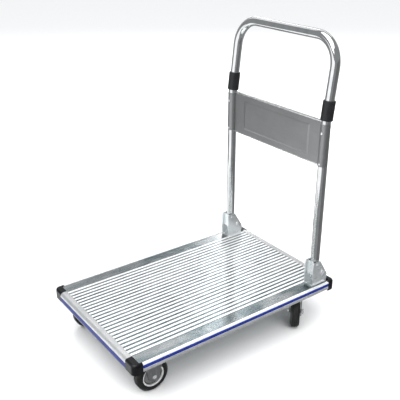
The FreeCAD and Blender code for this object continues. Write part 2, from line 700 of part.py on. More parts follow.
def make_caster_fasteners():
    """Axles, kingpins, bearing balls and the plates' bolts and nuts."""
    axis_up = Rotation(Vector(1, 0, 0), Vector(0, 0, 1))
    axis_down = Rotation(Vector(1, 0, 0), Vector(0, 0, -1))
    leg_face = dims.wheel_half_width + dims.fork_side_gap + dims.leg_thickness
    bolt_height = plate_top().value - dims.plate_thickness.value
    seat = plate_top().value + dims.member_wall.value
    bolt_spots = [(x + across * dims.bolt_half_x.value, y + along * dims.bolt_half_y.value)
                  for x, y in caster_spots() for across in (-1, 1) for along in (-1, 1)]
    plate_bolt = domed_pin("plate_bolt", dims.bolt_radius,
                           -(dims.plate_thickness + dims.member_wall + dims.bolt_stem), as_size(0),
                           dims.bolt_head, dims.bolt_head_height)
    scattered("caster_bolts", plate_bolt, [
        Placement(Vector(x, y, bolt_height), axis_down) for x, y in bolt_spots])
    plate_nut = hex_nut("plate_nut", dims.nut_corner, dims.nut_height, dims.bolt_radius)
    scattered("caster_nuts", plate_nut, [Placement(Vector(x, y, seat), axis_up) for x, y in bolt_spots])

    axle = domed_pin("axle", dims.axle_radius, -(leg_face + dims.nut_height + dims.thread_past_nut),
                     leg_face, dims.axle_head, dims.axle_head_height)
    axle_nut = hex_nut("axle_nut", dims.nut_corner, dims.nut_height, dims.axle_radius)
    outward = {-1: Rotation(Vector(0, 0, 1), 180), 1: Rotation()}
    height = dims.wheel_radius.value
    face = leg_face.value
    front = caster_spots()[:2]
    scattered("rigid_axle_bolts", axle, [
        Placement(Vector(x, y, height), outward[side]) for side, (x, y) in zip((-1, 1), front)])
    scattered("rigid_axle_nuts", axle_nut, [
        Placement(Vector(x - side * face, y, height), outward[-side])
        for side, (x, y) in zip((-1, 1), front)])
    turn = Rotation(Vector(0, 0, 1), dims.swivel_turn.value)
    for name, (x, y) in zip(("left", "right"), caster_spots()[2:]):
        hub = Vector(x, y, height) + turn.multVec(Vector(0, -dims.swivel_trail.value, 0))
        across = turn.multVec(Vector(1, 0, 0))
        flipped = turn.multiply(outward[-1])
        scattered("swivel_axle_bolt_" + name, axle, [Placement(hub, flipped)])
        scattered("swivel_axle_nut_" + name, axle_nut, [Placement(hub + across * face, turn)])

    crown_inside = dims.fork_crown - dims.crown_wall
    kingpin = turned("kingpin", [
        (crown_inside - dims.kingpin_height, 0),
        (crown_inside - dims.kingpin_height, dims.kingpin_head - dims.kingpin_chamfer),
        (crown_inside - dims.kingpin_chamfer, dims.kingpin_head),
        (crown_inside - dims.kingpin_gap, dims.kingpin_head),
        (crown_inside - dims.kingpin_gap, dims.kingpin_radius),
        (plate_top(), dims.kingpin_radius), (plate_top(), 0)])
    scattered("kingpins", kingpin, [Placement(Vector(x, y, 0), axis_up) for x, y in caster_spots()[2:]])
    ball = doc.addObject("Part::Sphere", "race_ball")
    bind(ball, "Radius", dims.ball_radius)
    ball_height = dims.fork_crown.value + dims.race_gap.value / 2
    count = int(dims.ball_count.value)
    scattered("race_balls", ball, [
        Placement(Vector(x + dims.ball_circle.value * math.cos(math.tau * step / count),
                         y + dims.ball_circle.value * math.sin(math.tau * step / count),
                         ball_height), Rotation())
        for x, y in caster_spots()[2:] for step in range(count)])


# ---- hinge brackets -------------------------------------------------------------------------

def clevis_half():
    """Half the width over the clevis that wraps the tube's foot."""
    return dims.tube_radius + dims.fit_gap + dims.clevis_wall


def ear_outside():
    return clevis_half() + dims.clevis_side_gap + dims.ear_wall


def make_hinge_brackets():
    """Folded brackets: a base on the deck and two ears that carry the pivot."""
    front, rear, high = -dims.ear_front, dims.ear_rear, dims.ear_top
    slope_end = dims.pivot_height - dims.ear_slope
    bracket = extruded("hinge_bracket_right", "YZ", [
        (front + dims.ear_foot_cut, 0), (front, dims.ear_foot_height), (front, high - dims.ear_head_cut),
        (front + dims.ear_foot_cut, high), (dims.ear_head_rear, high), (rear, slope_end),
        (rear, dims.ear_heel_height), (rear - dims.ear_heel_cut, 0)], ear_outside() * 2)
    round_edges(bracket, dims.ear_round, lambda edge: at(edge, x=0, y=rear, z=slope_end))
    space = draw_outline(new_sketch(bracket, "YZ"), [
        (front - rear, dims.ear_wall), (rear * 2, dims.ear_wall),
        (rear * 2, high * 2), (front - rear, high * 2)])
    pocket(bracket, space, (ear_outside() - dims.ear_wall) * 2)
    foot = ear_outside() - dims.ear_wall / 2
    packing = draw_outline(raised_sketch(bracket, -dims.rib_height), [
        (-foot, front + dims.ear_foot_cut), (foot, front + dims.ear_foot_cut),
        (foot, rear - dims.ear_heel_cut), (-foot, rear - dims.ear_heel_cut)])
    pad(bracket, packing, dims.rib_height, both_ways=False)
    drill(bracket, "YZ", [(dims.pivot_back, dims.pivot_height)], dims.pivot_radius)
    drill(bracket, "YZ", detent_spots(), dims.rivet_radius)
    drill(bracket, "XY", foot_rivet_spots(), dims.rivet_radius)
    place(bracket, x=dims.leg_spacing / 2, y=dims.leg_line, z=dims.deck_top)
    keep("hinge_bracket_right", bracket)
    mirrored("hinge_bracket_left", bracket, (1, 0, 0))


def detent_spots():
    """Small rivets of the ears, from the tube's line and the deck's top."""
    return [(-dims.detent_front, dims.detent_height), (dims.stop_rear, dims.stop_height)]


def foot_rivet_spots():
    return [(side * dims.foot_rivet_across, along)
            for side in (-1, 1) for along in (-dims.foot_rivet_front, dims.foot_rivet_rear)]


def make_bracket_fasteners():
    leg_x, leg_y, top = dims.leg_spacing.value / 2, dims.leg_line.value, dims.deck_top.value
    pivot = two_headed_pin("pivot", dims.pivot_radius, ear_outside(), dims.pivot_head,
                           dims.pivot_head_height)
    pivot_spot = Vector(0, leg_y + dims.pivot_back.value, top + dims.pivot_height.value)
    scattered("pivot_pins", pivot, [
        Placement(Vector(side * leg_x, 0, 0) + pivot_spot, Rotation()) for side in (-1, 1)])
    ear_rivet = domed_pin("ear_rivet", dims.rivet_radius, -dims.ear_wall, as_size(0),
                          dims.detent_head, dims.detent_head_height)
    outward = {-1: Rotation(Vector(0, 0, 1), 180), 1: Rotation()}
    spots = [Placement(Vector(side * leg_x + face * ear_outside().value, leg_y + along.value, top + up.value),
                       outward[face])
             for side in (-1, 1) for face in (-1, 1) for along, up in detent_spots()]
    depth = dims.ear_wall + dims.rib_height + dims.deck_sheet + 2
    foot_rivet = domed_pin("foot_rivet", dims.rivet_radius, -depth, as_size(0),
                           dims.foot_rivet_head, dims.foot_rivet_head_height)
    upright = Rotation(Vector(1, 0, 0), Vector(0, 0, 1))
    seat = top + dims.ear_wall.value
    foot_spots = [
        Placement(Vector(side * leg_x + across.value, leg_y + along.value, seat), upright)
        for side in (-1, 1) for across, along in foot_rivet_spots()]
    grouped("bracket_rivets", copies_of(ear_rivet, spots) + copies_of(foot_rivet, foot_spots))


def make_clevises():
    """U-shaped clevises that turn with the handle and hold the foot of each leg."""
    front = -(dims.tube_radius + dims.fit_gap + dims.clevis_wall)
    pivot, low, high = dims.pivot_back, dims.clevis_bottom, dims.clevis_top
    clevis = extruded("hinge_clevis_right", "YZ", [
        (front, low), (front, high), (dims.clevis_head_rear, high),
        (pivot + dims.clevis_reach, dims.pivot_height + dims.clevis_rise),
        (pivot + dims.clevis_reach, dims.pivot_height - dims.clevis_fall),
        (pivot + dims.clevis_toe, dims.pivot_height - dims.clevis_toe_fall),
        (as_size(0), low - dims.clevis_heel), (front + dims.clevis_heel, low - 1)], clevis_half() * 2)
    space = draw_outline(new_sketch(clevis, "YZ"), [
        (front + dims.clevis_wall, 0), (pivot * 3, 0), (pivot * 3, high * 2),
        (front + dims.clevis_wall, high * 2)])
    pocket(clevis, space, (dims.tube_radius + dims.fit_gap) * 2)
    drill(clevis, "YZ", [(pivot, dims.pivot_height)], dims.pivot_radius + dims.axle_clearance)
    drill(clevis, "YZ", [(as_size(0), dims.clevis_rivet_height)], dims.clevis_rivet_radius)
    place(clevis, x=dims.leg_spacing / 2, y=dims.leg_line, z=dims.deck_top)
    keep("hinge_clevis_right", clevis)
    mirrored("hinge_clevis_left", clevis, (1, 0, 0))
    half = clevis_half()
    pin = turned("clevis_pin", [
        (-half, 0), (-half, dims.clevis_rivet_radius), (half, dims.clevis_rivet_radius), (half, 0)])
    height = dims.deck_top.value + dims.clevis_rivet_height.value
    scattered("clevis_rivets", pin, [
        Placement(Vector(side * dims.leg_spacing.value / 2, dims.leg_line.value, height), Rotation())
        for side in (-1, 1)])


# ---- handle -------------------------------------------------------------------------------------

def make_handle_legs():
    """Lower tubes: upright, with a slight rearward bend just below the joint sleeve."""
    run_in = dims.lean_round * tangent(dims.lean_angle / 2)
    foot = dims.deck_top + dims.leg_foot
    points = [(as_size(0), foot), (as_size(0), dims.lean_start - run_in),
              (run_in * sine(dims.lean_angle), dims.lean_start + run_in * cosine(dims.lean_angle)),
              (dims.joint_height * sine(dims.lean_angle),
               dims.lean_start + dims.joint_height * cosine(dims.lean_angle))]
    leg = swept_tube("handle_leg_right", "YZ", points,
                     {1: (dims.lean_round, dims.lean_start - run_in)}, "XY")
    drill(leg, "YZ", [(as_size(0), dims.deck_top + dims.clevis_rivet_height)], dims.clevis_rivet_radius)
    rivets = draw_circle(new_sketch(leg, "XZ"), 0, dims.panel_rivet_low, dims.rivet_radius)
    draw_circle(rivets, 0, dims.panel_rivet_high, dims.rivet_radius)
    pocket(leg, rivets, dims.tube_radius + 1, both_ways=False, reverse=True)
    place(leg, x=dims.leg_spacing / 2, y=dims.leg_line)
    keep("handle_leg_right", leg)
    mirrored("handle_leg_left", leg, (1, 0, 0))


def leaned(item, side):
    """Put a piece whose axis is its own Z on the leaning part of one side of the handle."""
    x = side * dims.leg_spacing / 2 if side else as_size(0)
    return place(item, x, dims.leg_line, dims.lean_start, (1, 0, 0), -dims.lean_angle)


def make_bow():
    half, top, bend = dims.leg_spacing / 2, dims.bow_top, dims.bow_round
    foot = dims.joint_height
    points = [(-half, foot), (-half, top - bend), (bend - half, top), (half - bend, top),
              (half, top - bend), (half, foot)]
    bow = swept_tube("handle_bow", "XZ", points,
                     {1: (bend - half, top - bend), 3: (half - bend, top - bend)}, "XY")
    keep("handle_bow", leaned(bow, 0))


def ring_body(name, inner, outer, start, end, cut):
    """A collar along its own Z with bevelled ends."""
    body = new_body(name)
    sketch = draw_outline(new_sketch(body, "XZ"), [
        (inner, start), (outer - cut, start), (outer, start + cut), (outer, end - cut),
        (outer - cut, end), (inner, end)])
    feature = body.newObject("PartDesign::Revolution", name + "_turn")
    feature.Profile = sketch
    feature.ReferenceAxis = (sketch, ["V_Axis"])
    feature.Angle = 360
    doc.recompute()
    return body


def make_joints():
    """Sleeves over the joints between the bow and the legs, and the plugs inside them."""
    bore = dims.tube_radius - dims.tube_wall
    for side, name in ((-1, "left"), (1, "right")):
        sleeve = ring_body("joint_sleeve_" + name, dims.tube_radius + dims.fit_gap, dims.sleeve_radius,
                           dims.sleeve_start, dims.sleeve_end, dims.sleeve_chamfer)
        keep("joint_sleeve_" + name, leaned(sleeve, side))
        plug = ring_body("joint_plug_" + name, bore - 2, bore - dims.fit_gap,
                         dims.plug_start, dims.plug_end, as_size(0.5))
        keep("joint_plug_" + name, leaned(plug, side))


def make_back_panel():
    """Pressed sheet between the legs: lipped edges, a raised field and a tab round each leg."""
    half = dims.leg_spacing / 2
    inner = dims.tube_radius + dims.fit_gap
    outer = inner + dims.panel_sheet
    height = dims.panel_top - dims.panel_bottom
    web_edge = half - (inner + outer) / 2
    face, back = -dims.panel_sheet / 2, dims.panel_sheet / 2
    panel = extruded("back_panel", "YZ", [
        (face, dims.panel_bottom), (dims.panel_lip, dims.panel_bottom),
        (dims.panel_lip, dims.panel_bottom + dims.panel_sheet), (back, dims.panel_bottom + dims.panel_sheet),
        (back, dims.panel_top - dims.panel_sheet), (dims.panel_lip, dims.panel_top - dims.panel_sheet),
        (dims.panel_lip, dims.panel_top), (face, dims.panel_top)], web_edge * 2)
    round_edges(panel, dims.panel_sheet * 0.8, lambda edge: at(edge, x=0, y=face) and edge.Length > 100)
    middle = (dims.panel_bottom + dims.panel_top) / 2
    field_x, field_z = half - dims.emboss_side, height / 2 - dims.emboss_edge
    raise_field(panel, field_x, field_z, middle)
    place(panel, y=dims.leg_line)
    tabs = [make_panel_tab(side, half, inner, outer) for side in (-1, 1)]
    whole = doc.addObject("Part::MultiFuse", "panel_with_tabs")
    whole.Shapes = [panel] + tabs
    keep("back_panel", whole)


def raise_field(panel, field_x, field_z, middle):
    """Press the middle of the panel forward with sloping borders."""
    sections = []
    for inset, depth in ((0, 0), (1, 1)):
        sketch = new_sketch(panel, "XZ")
        offset = dims.panel_sheet / 2 + dims.emboss_depth * depth
        sketch.AttachmentOffset = Placement(Vector(0, 0, offset.value), Rotation())
        bind(sketch, "AttachmentOffset.Base.z", offset)
        x, z = field_x - dims.emboss_slope * inset, field_z - dims.emboss_slope * inset
        draw_outline(sketch, [(-x, middle - z), (x, middle - z), (x, middle + z), (-x, middle + z)])
        sections.append(sketch)
    doc.recompute()
    loft = panel.newObject("PartDesign::AdditiveLoft", "panel_field")
    loft.Profile = sections[0]
    loft.Sections = [sections[1]]
    loft.Ruled = True
    doc.recompute()


def make_panel_tab(side, half, inner, outer):
    """The half-round tab in front of one leg, with its two rivet holes."""
    low, high = dims.panel_bottom + dims.panel_tab_inset, dims.panel_top - dims.panel_tab_inset
    tab = new_body(f"panel_tab_{'left' if side < 0 else 'right'}")
    sketch = raised_sketch(tab, low)
    draw_circle(sketch, 0, 0, outer)
    draw_circle(sketch, 0, 0, inner)
    pad(tab, sketch, high - low, both_ways=False)
    rear = draw_outline(raised_sketch(tab, high + 1), [
        (-outer - 1, dims.panel_sheet * 2), (outer + 1, dims.panel_sheet * 2),
        (outer + 1, outer + 1), (-outer - 1, outer + 1)])
    pocket(tab, rear, high - low + 2, both_ways=False)
    rivets = draw_circle(new_sketch(tab, "XZ"), 0, dims.panel_rivet_low, dims.rivet_radius)
    draw_circle(rivets, 0, dims.panel_rivet_high, dims.rivet_radius)
    pocket(tab, rivets)
    return place(tab, x=side * half, y=dims.leg_line)


def make_panel_rivets():
    front = dims.leg_line - dims.tube_radius - dims.fit_gap - dims.panel_sheet
    rivet = domed_pin("panel_rivet", dims.rivet_radius, -dims.panel_rivet_stem, as_size(0),
                      dims.rivet_head, dims.panel_rivet_head_height)
    forward = Rotation(Vector(1, 0, 0), Vector(0, -1, 0))
    scattered("panel_rivets", rivet, [
        Placement(Vector(side * dims.leg_spacing.value / 2, front.value, height.value), forward)
        for side in (-1, 1) for height in (dims.panel_rivet_low, dims.panel_rivet_high)])


def write_parts():
    doc.recompute()
    for item in doc.Objects:
        if "Invalid" in item.State or "Error" in item.State:
            raise RuntimeError(f"{item.Label} failed: {item.State}")
    for label, item in nodes.items():
        if item.Shape.isNull() or not item.Shape.isValid():
            raise RuntimeError(label + " has no valid shape")
    os.makedirs("parts", exist_ok=True)
    for label, item in nodes.items():
        item.Shape.exportStep(f"parts/{label}.step")
    print(len(nodes), "sub-parts written")


make_deck()
make_end_rails()
make_side_rails()
make_corner_caps()
make_cross_members()
make_rigid_casters()
make_swivel_casters()
make_caster_fasteners()
make_hinge_brackets()
make_bracket_fasteners()
make_clevises()
make_handle_legs()
make_bow()
make_joints()
make_back_panel()
make_panel_rivets()
write_parts()
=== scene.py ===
import math

import bmesh
import bpy
from mathutils import Matrix, Vector


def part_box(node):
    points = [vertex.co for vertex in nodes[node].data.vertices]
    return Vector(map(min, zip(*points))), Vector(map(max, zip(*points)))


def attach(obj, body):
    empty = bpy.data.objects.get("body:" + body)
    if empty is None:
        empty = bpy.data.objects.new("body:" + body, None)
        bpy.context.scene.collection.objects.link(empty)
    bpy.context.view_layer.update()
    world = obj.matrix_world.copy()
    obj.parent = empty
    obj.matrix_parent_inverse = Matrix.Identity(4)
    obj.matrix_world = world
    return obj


# Folding platform cart: finishes, detail pieces and the studio round the CAD frame.
# Everything is in metres in the frame's own axes: +X right, +Y towards the handle, +Z up.

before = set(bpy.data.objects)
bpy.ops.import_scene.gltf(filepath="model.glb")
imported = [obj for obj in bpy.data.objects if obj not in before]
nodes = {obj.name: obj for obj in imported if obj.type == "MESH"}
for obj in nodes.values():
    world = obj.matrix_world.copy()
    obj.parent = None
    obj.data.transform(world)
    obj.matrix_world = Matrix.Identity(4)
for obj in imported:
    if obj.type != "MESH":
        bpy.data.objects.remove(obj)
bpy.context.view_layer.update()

SIDES = ("left", "right")
WHEELS = ("front_left", "front_right", "rear_left", "rear_right")
SWIVEL_TURN = math.radians(45)

# metres, as the CAD part has them
RIB_HEIGHT = 0.0014
RIBBED_HALF_WIDTH = 0.193
PANEL_SHEET_HALF = 0.0006
PANEL_WEB_LENGTH = 0.388
PIN_HEAD_HEIGHT = 0.0036

# sizes of the pieces added here
HEM_RADIUS = 0.0020
HEM_SUNK_SHARE = 0.45
WASHER_INNER = 0.0066
WASHER_OUTER = 0.0100
WASHER_THICKNESS = 0.0010
SHARP_ANGLE = math.radians(35)


def middle(*names):
    """The centre of the box round these CAD nodes."""
    boxes = [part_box(name) for name in names]
    low = Vector([min(box[0][axis] for box in boxes) for axis in range(3)])
    high = Vector([max(box[1][axis] for box in boxes) for axis in range(3)])
    return (low + high) / 2


# ---------------------------------------------------------------- materials

class Finish:
    """A material and short ways to wire its nodes."""

    def __init__(self, name, colour, metallic=0.0, roughness=0.5, **more):
        self.material = bpy.data.materials.new(name)
        self.material.use_nodes = True
        self.nodes = self.material.node_tree.nodes
        self.links = self.material.node_tree.links
        self.shader = self.nodes["Principled BSDF"]
        self.set("Base Color", (*colour, 1.0))
        self.set("Metallic", metallic)
        self.set("Roughness", roughness)
        for socket, value in more.items():
            self.set(socket.replace("_", " "), value)
        self.normal = None

    def set(self, socket, value):
        self.shader.inputs[socket].default_value = value

    def node(self, kind, inputs=None, **settings):
        made = self.nodes.new(kind)
        for name, value in settings.items():
            setattr(made, name, value)
        for socket, value in (inputs or {}).items():
            if isinstance(value, bpy.types.NodeSocket):
                self.links.new(value, made.inputs[socket])
            else:
                made.inputs[socket].default_value = value
        return made

    def place(self, centre=(0, 0, 0), turn=0.0, stretch=(1, 1, 1)):
        """Object coordinates, centred and turned about Z on the piece, then stretched."""
        source = self.node("ShaderNodeTexCoord").outputs["Object"]
        centred = self.node("ShaderNodeMapping", {
            "Vector": source, "Location": centre, "Rotation": (0, 0, turn)}, vector_type="TEXTURE")
        return self.node("ShaderNodeMapping", {
            "Vector": centred.outputs["Vector"], "Scale": stretch}).outputs["Vector"]

    def noise(self, where, scale, detail=3.0, rough=0.55, distortion=0.0):
        return self.node("ShaderNodeTexNoise", {
            "Vector": where, "Scale": scale, "Detail": detail, "Roughness": rough,
            "Distortion": distortion}).outputs["Fac"]

    def cells(self, where, scale, feature="F1"):
        return self.node("ShaderNodeTexVoronoi", {"Vector": where, "Scale": scale}, feature=feature)

    def levels(self, value, low, high, out_low=0.0, out_high=1.0, smooth=False):
        return self.node("ShaderNodeMapRange", {
            "Value": value, "From Min": low, "From Max": high, "To Min": out_low, "To Max": out_high},
            interpolation_type="SMOOTHSTEP" if smooth else "LINEAR").outputs["Result"]

    def ramp(self, value, *stops):
        made = self.node("ShaderNodeValToRGB", {"Fac": value})
        elements = made.color_ramp.elements
        while len(elements) < len(stops):
            elements.new(0.5)
        for element, (place, colour) in zip(elements, stops):
            element.position = place
            element.color = (*colour, 1.0)
        return made.outputs["Color"]

    def mix(self, factor, first, second, blend="MIX"):
        made = self.node("ShaderNodeMix", data_type="RGBA", blend_type=blend)
        for index, value in ((0, factor), (6, first), (7, second)):
            if isinstance(value, bpy.types.NodeSocket):
                self.links.new(value, made.inputs[index])
            else:
                made.inputs[index].default_value = value if index == 0 else (*value, 1.0)
        return made.outputs[2]

    def maths(self, operation, first, second=0.0):
        return self.node("ShaderNodeMath", {0: first, 1: second}, operation=operation).outputs["Value"]

    def colour(self, socket):
        self.links.new(socket, self.shader.inputs["Base Color"])

    def roughness(self, socket):
        self.links.new(socket, self.shader.inputs["Roughness"])

    def bump(self, height, strength, distance):
        """Adds a layer of relief to those already there."""
        made = self.node("ShaderNodeBump", {"Height": height, "Strength": strength, "Distance": distance})
        if self.normal:
            self.links.new(self.normal, made.inputs["Normal"])
        self.normal = made.outputs["Normal"]
        self.links.new(self.normal, self.shader.inputs["Normal"])

    def axis(self, where, name):
        return self.node("ShaderNodeSeparateXYZ", {"Vector": where}).outputs[name]

    def distance_from_axle(self, where):
        """How far a point is from the local X axis."""
        flat = self.node("ShaderNodeVectorMath", {0: where, 1: (0, 1, 1)}, operation="MULTIPLY")
        return self.node("ShaderNodeVectorMath", {0: flat.outputs["Vector"]},
                         operation="LENGTH").outputs["Value"]


def grey(value, tint=0.0):
    """A neutral colour, a little greener and bluer with tint."""
    return (value * (1 - tint), value, value * (1 + tint * 0.25))


def deck_finish():
    """Ribbed aluminium sheet: crests worn bright and carrying a painted highlight, over duller, mottled
    valleys and margins.
    """
    skin = Finish("deck_aluminium_ribbed", grey(0.8), metallic=1.0, roughness=0.3)
    low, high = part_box("deck_panel")
    sheet_top = high.z - RIB_HEIGHT
    where = skin.place()
    clouds = skin.noise(skin.place(stretch=(1.0, 0.6, 1.0)), 26, 4, 0.62, 0.6)
    patches = skin.noise(skin.place(stretch=(1.0, 0.35, 1.0)), 9, 2, 0.5, 0.3)
    sheet = skin.ramp(clouds, (0.32, grey(0.25, 0.20)), (0.5, grey(0.38, 0.15)), (0.68, grey(0.55, 0.07)))
    sheet = skin.mix(skin.levels(patches, 0.52, 0.66), sheet, grey(0.60, 0.02))
    # Near-white tone on the rib tops: partly real wear, partly a painted highlight where the tops catch
    # the light.
    crest_wear_and_highlight = skin.ramp(clouds, (0.3, grey(0.86, 0.01)), (0.7, grey(0.97)))
    on_crest = skin.levels(skin.axis(where, "Z"), sheet_top + 0.0004, high.z - 0.0003, smooth=True)
    across = skin.maths("ABSOLUTE", skin.axis(where, "X"))
    between_ribs = skin.levels(across, RIBBED_HALF_WIDTH + 0.0005, RIBBED_HALF_WIDTH - 0.0005)
    sheet = skin.mix(between_ribs, sheet, skin.mix(1.0, sheet, (0.78, 0.86, 0.87), "MULTIPLY"))
    skin.colour(skin.mix(on_crest, sheet, crest_wear_and_highlight))
    skin.links.new(skin.levels(on_crest, 0, 1, 1.0, 0.35), skin.shader.inputs["Metallic"])
    grain = skin.noise(skin.place(stretch=(60, 1, 60)), 30, 4, 0.6)
    skin.roughness(skin.levels(grain, 0.3, 0.7, 0.20, 0.32))
    skin.bump(grain, 0.25, 0.00012)
    skin.bump(clouds, 0.16, 0.0010)
    return skin.material


def rail_finish(name, stretch, metallic, lip_height, bright=1.0):
    """Drawn aluminium: die lines along its length, cloudy etching, and painted shade darkening the lip
    below the strip.
    """
    skin = Finish(name, grey(0.8), metallic=metallic, roughness=0.3)
    clouds = skin.noise(skin.place(), 32, 4, 0.6, 0.5)
    lines = skin.noise(skin.place(stretch=stretch), 260, 3, 0.6)
    tone = skin.ramp(clouds, (0.32, grey(0.74 * bright, 0.03)), (0.5, grey(0.88 * bright, 0.01)),
                     (0.66, grey(0.95 * bright)))
    drawn = skin.mix(skin.levels(lines, 0.35, 0.65, 0.0, 0.35), tone, grey(0.93 * bright))
    height = skin.axis(skin.place(), "Z")
    # Painted shade: the rail below the bumper strip is multiplied darker, standing in for the shadow
    # under the strip.
    painted_shade_below_strip = skin.levels(height, lip_height + 0.0002, lip_height - 0.0010, smooth=True)
    skin.colour(skin.mix(painted_shade_below_strip, drawn, skin.mix(1.0, drawn, grey(0.42), "MULTIPLY")))
    skin.roughness(skin.levels(clouds, 0.3, 0.7, 0.40, 0.24))
    skin.bump(lines, 0.30, 0.00010)
    return skin.material


def strip_finish():
    """Blue vinyl bumper strip, slightly scuffed along its crown."""
    skin = Finish("blue_vinyl", (0.02, 0.05, 0.34), roughness=0.42, Specular_IOR_Level=0.18)
    clouds = skin.noise(skin.place(), 45, 3, 0.6)
    scuffs = skin.noise(skin.place(stretch=(0.4, 0.4, 5)), 120, 4, 0.7)
    base = skin.ramp(clouds, (0.3, (0.006, 0.017, 0.17)), (0.7, (0.014, 0.034, 0.26)))
    skin.colour(skin.mix(skin.levels(scuffs, 0.62, 0.82, 0.0, 0.5), base, (0.05, 0.09, 0.38)))
    skin.roughness(skin.levels(scuffs, 0.4, 0.8, 0.30, 0.55))
    skin.bump(skin.noise(skin.place(), 1400, 2), 0.15, 0.00008)
    return skin.material


def cap_finish():
    """Glossy black moulded plastic with a fine grain and dull rubbed patches."""
    skin = Finish("black_cap_moulded", (0.012, 0.012, 0.014), roughness=0.3, Specular_IOR_Level=0.32)
    rubbed = skin.noise(skin.place(), 70, 4, 0.65, 0.4)
    skin.colour(skin.ramp(rubbed, (0.45, (0.003, 0.003, 0.004)), (0.8, (0.008, 0.008, 0.010))))
    skin.roughness(skin.levels(rubbed, 0.35, 0.75, 0.27, 0.34))
    skin.bump(skin.noise(skin.place(), 1900, 2), 0.12, 0.00006)
    return skin.material


def galvanised_finish(name, bright=1.0, metallic=0.95):
    """Zinc-coated sheet: soft spangle, with a little white bloom in patches."""
    skin = Finish(name, grey(0.7), metallic=metallic, roughness=0.35)
    spangle = skin.cells(skin.place(), 210)
    each = skin.node("ShaderNodeSeparateColor", {"Color": spangle.outputs["Color"]}).outputs["Red"]
    bloom = skin.noise(skin.place(), 38, 4, 0.6, 0.4)
    tone = skin.ramp(each, (0.0, grey(0.76 * bright, 0.04)), (1.0, grey(0.80 * bright, 0.03)))
    skin.colour(skin.mix(skin.levels(bloom, 0.5, 0.72, 0.0, 0.3), tone, grey(0.83 * bright, 0.03)))
    skin.roughness(skin.maths("ADD", skin.levels(each, 0, 1, 0.27, 0.31),
                              skin.levels(bloom, 0.45, 0.75, 0.0, 0.06)))
    skin.bump(skin.noise(skin.place(), 900, 3), 0.10, 0.00008)
    return skin.material


def fork_finish():
    """Smooth satin zinc on the pressed forks, faintly streaked by the press."""
    skin = Finish("satin_zinc_pressed", grey(0.32), metallic=0.9, roughness=0.3)
    streaks = skin.noise(skin.place(stretch=(1, 1, 0.25)), 90, 4, 0.6, 0.3)
    skin.colour(skin.ramp(streaks, (0.3, grey(0.26, 0.03)), (0.7, grey(0.40, 0.02))))
    skin.roughness(skin.levels(streaks, 0.3, 0.7, 0.26, 0.38))
    skin.bump(skin.noise(skin.place(), 900, 3), 0.06, 0.00006)
    return skin.material


def fastener_finish():
    """Bright zinc plate on cold-headed rivets, bolts and nuts."""
    skin = Finish("bright_zinc", grey(0.86), metallic=0.75, roughness=0.2)
    wear = skin.noise(skin.place(), 260, 4, 0.6)
    skin.colour(skin.ramp(wear, (0.3, grey(0.76, 0.01)), (0.6, grey(0.95))))
    skin.roughness(skin.levels(wear, 0.3, 0.7, 0.14, 0.34))
    skin.bump(wear, 0.10, 0.00006)
    return skin.material


def chrome_finish():
    """Polished chrome with faint drawing lines along the tube and a few dull smears."""
    skin = Finish("chrome_plate", grey(0.86), metallic=1.0, roughness=0.08)
    lines = skin.noise(skin.place(stretch=(1, 1, 0.02)), 700, 3, 0.6)
    smears = skin.noise(skin.place(stretch=(1, 1, 0.5)), 34, 4, 0.6, 0.5)
    skin.colour(skin.ramp(smears, (0.35, grey(0.70, 0.01)), (0.6, grey(0.79))))
    skin.roughness(skin.maths("ADD", skin.levels(smears, 0.45, 0.75, 0.06, 0.085),
                              skin.levels(lines, 0.45, 0.75, 0.0, 0.04)))
    skin.bump(lines, 0.02, 0.00004)
    return skin.material


def sleeve_finish():
    """Satin black nylon with a sparkle of moulding grain."""
    skin = Finish("black_sleeve_moulded", (0.014, 0.014, 0.015), roughness=0.45)
    grain = skin.noise(skin.place(), 1500, 3, 0.6)
    worn = skin.noise(skin.place(), 60, 3, 0.6)
    skin.colour(skin.ramp(worn, (0.4, (0.006, 0.006, 0.007)), (0.75, (0.016, 0.016, 0.018))))
    skin.roughness(skin.levels(worn, 0.3, 0.75, 0.38, 0.56))
    skin.bump(grain, 0.30, 0.00010)
    return skin.material


def panel_finish():
    """Satin grey plated sheet with a fine brushed grain across its width."""
    skin = Finish("satin_plated_sheet", grey(0.42), metallic=0.9, roughness=0.42)
    brushed = skin.noise(skin.place(stretch=(0.03, 1, 1)), 900, 3, 0.6)
    clouds = skin.noise(skin.place(), 14, 3, 0.5, 0.3)
    tone = skin.ramp(clouds, (0.3, grey(0.29, 0.0)), (0.7, grey(0.33, 0.01)))
    skin.colour(skin.mix(skin.levels(brushed, 0.35, 0.65, 0.0, 0.18), tone, grey(0.50)))
    skin.roughness(skin.levels(brushed, 0.3, 0.7, 0.36, 0.48))
    skin.bump(brushed, 0.12, 0.00006)
    return skin.material


def painted_highlight_hem_finish():
    """The panel's folded edges: the same plated sheet given a far brighter tone, a painted highlight
    along each fold.
    """
    skin = Finish("hem_painted_highlight", grey(0.75), metallic=0.85, roughness=0.2)
    rubbed = skin.noise(skin.place(stretch=(0.3, 1, 1)), 160, 4, 0.6)
    skin.colour(skin.ramp(rubbed, (0.3, grey(0.62)), (0.7, grey(0.90))))
    skin.roughness(skin.levels(rubbed, 0.3, 0.7, 0.14, 0.32))
    skin.bump(rubbed, 0.08, 0.00005)
    return skin.material


